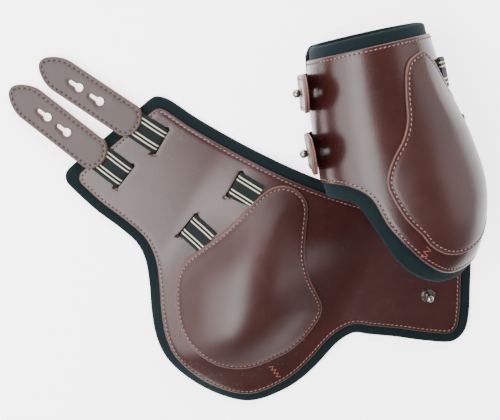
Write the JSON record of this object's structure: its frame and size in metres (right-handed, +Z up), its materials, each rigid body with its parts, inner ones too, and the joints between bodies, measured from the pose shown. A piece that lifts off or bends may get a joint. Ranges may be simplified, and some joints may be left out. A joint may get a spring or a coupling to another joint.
{
  "type": "tendon boots",
  "caption": "Mirrored leather leg boots for a horse, with neoprene linings and striped elastic stud straps, laid open and buttoned closed side by side.",
  "frame": {"origin": "centre of the pair's plan box, on the plane that the boots lie on", "axes": "+Z up; the open boot lies outside up; its straps point to -X and +Y, and the closed boot lies over its stud end at +X, its leg opening towards +Y"},
  "size_m": [0.4118, 0.347, 0.1071],
  "materials": {
    "shell_leather": "smooth glossy dark brown",
    "pad_leather": "smooth glossy dark brown",
    "tab_leather": "smooth satin dark brown",
    "neoprene": "matt jersey-faced foam",
    "elastic": "ribbed, with cream stripes",
    "nickel": "polished",
    "impact_foam": "matt"
  },
  "bodies": {
    "open_boot": {"cup_lining": "neoprene", "cup_shell": "shell_leather", "strike_pad": "pad_leather", "impact_insert": "impact_foam", "upper_elastic_anchor": "elastic", "lower_elastic_anchor": "elastic"},
    "strap_wing": {"strap_wing_lining": "neoprene", "strap_wing_shell": "shell_leather", "upper_elastic_run": "elastic", "lower_elastic_run": "elastic"},
    "stud_wing": {"stud_wing_lining": "neoprene", "stud_wing_shell": "shell_leather", "upper_stud": "nickel", "lower_stud": "nickel", "upper_washer": "nickel", "lower_washer": "nickel", "upper_back_plate": "nickel", "lower_back_plate": "nickel"},
    "upper_strap": {"upper_strap_elastic": "elastic"},
    "upper_tab": {"upper_tab_face": "tab_leather", "upper_tab_backing": "tab_leather"},
    "lower_strap": {"lower_strap_elastic": "elastic"},
    "lower_tab": {"lower_tab_face": "tab_leather", "lower_tab_backing": "tab_leather"},
    "closed_boot": {"closed_lining": "neoprene", "closed_shell": "shell_leather", "closed_pad": "pad_leather", "closed_insert": "impact_foam", "closed_upper_elastic": "elastic", "closed_upper_tab_face": "tab_leather", "closed_upper_tab_backing": "tab_leather", "closed_upper_stud": "nickel", "closed_upper_washer": "nickel", "closed_upper_back_plate": "nickel", "closed_lower_elastic": "elastic", "closed_lower_tab_face": "tab_leather", "closed_lower_tab_backing": "tab_leather", "closed_lower_stud": "nickel", "closed_lower_washer": "nickel", "closed_lower_back_plate": "nickel"}
  },
  "joints": [
    {"name": "strap_wing_fold", "type": "hinge", "parent": "open_boot", "child": "strap_wing", "pos_m": [-0.07735, -0.03156, 0], "axis": [-0.4802, -0.8771, 0], "range_deg": [0, 75]},
    {"name": "stud_wing_fold", "type": "hinge", "parent": "open_boot", "child": "stud_wing", "pos_m": [0.07703, -0.11607, 0], "axis": [0.4802, 0.8771, 0], "range_deg": [0, 75]},
    {"name": "upper_strap_flap", "type": "hinge", "parent": "strap_wing", "child": "upper_strap", "pos_m": [-0.07416, 0.07068, 0.00875], "axis": [0.5534, 0.8329, 0], "range_deg": [0, 130]},
    {"name": "upper_elastic_stretch", "type": "slide", "parent": "upper_strap", "child": "upper_tab", "axis": [-0.831, 0.5521, -0.068], "range_m": [0, 0.02], "stiffness_N_per_m": 300, "deforming": ["upper_strap_elastic"]},
    {"name": "lower_strap_flap", "type": "hinge", "parent": "strap_wing", "child": "lower_strap", "pos_m": [-0.10686, 0.03948, 0.00875], "axis": [0.6184, 0.7859, 0], "range_deg": [0, 130]},
    {"name": "lower_elastic_stretch", "type": "slide", "parent": "lower_strap", "child": "lower_tab", "axis": [-0.784, 0.617, -0.068], "range_m": [0, 0.02], "stiffness_N_per_m": 300, "deforming": ["lower_strap_elastic"]},
    {"name": "closed_boot_lift", "type": "slide", "parent": "open_boot", "child": "closed_boot", "axis": [0, 0, 1], "range_m": [0, 0.12]}
  ]
}
